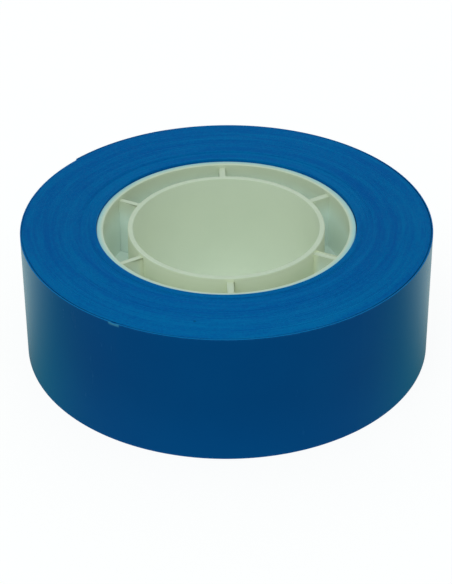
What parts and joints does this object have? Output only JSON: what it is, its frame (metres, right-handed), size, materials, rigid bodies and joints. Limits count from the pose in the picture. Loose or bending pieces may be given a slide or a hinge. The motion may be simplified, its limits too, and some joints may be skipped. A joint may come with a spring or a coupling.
{
  "type": "grip tape roll",
  "caption": "Roll of narrow blue vinyl grip finishing tape wound on a pale double-ring plastic core, with a free end that peels back.",
  "frame": {"origin": "on the bore's axis, at the height of the face that the roll lies on", "axes": "+Z along the bore, up; +Y towards the side where the strip's free end lies; the strip winds anticlockwise seen from +Z"},
  "size_m": [0.0572, 0.0573, 0.0191],
  "materials": {
    "core_plastic": "natural cream moulded plastic, slightly translucent",
    "tape_edges": "the slit edges of many laps of blue vinyl, satin, with fine rings",
    "tape_film": "glossy blue vinyl film",
    "adhesive": "tacky clear adhesive over the blue film"
  },
  "bodies": {
    "roll": {"core": "core_plastic", "wound_tape": "tape_edges", "outer_lap": "tape_film"},
    "tail": {"tape_tail": "tape_film", "tail_adhesive": "adhesive"}
  },
  "joints": [
    {"name": "tail_peel", "type": "hinge", "parent": "roll", "child": "tail", "pos_m": [-0.00799, 0.02765, 0.00962], "axis": [0, 0, -1], "range_deg": [0, 120]}
  ]
}
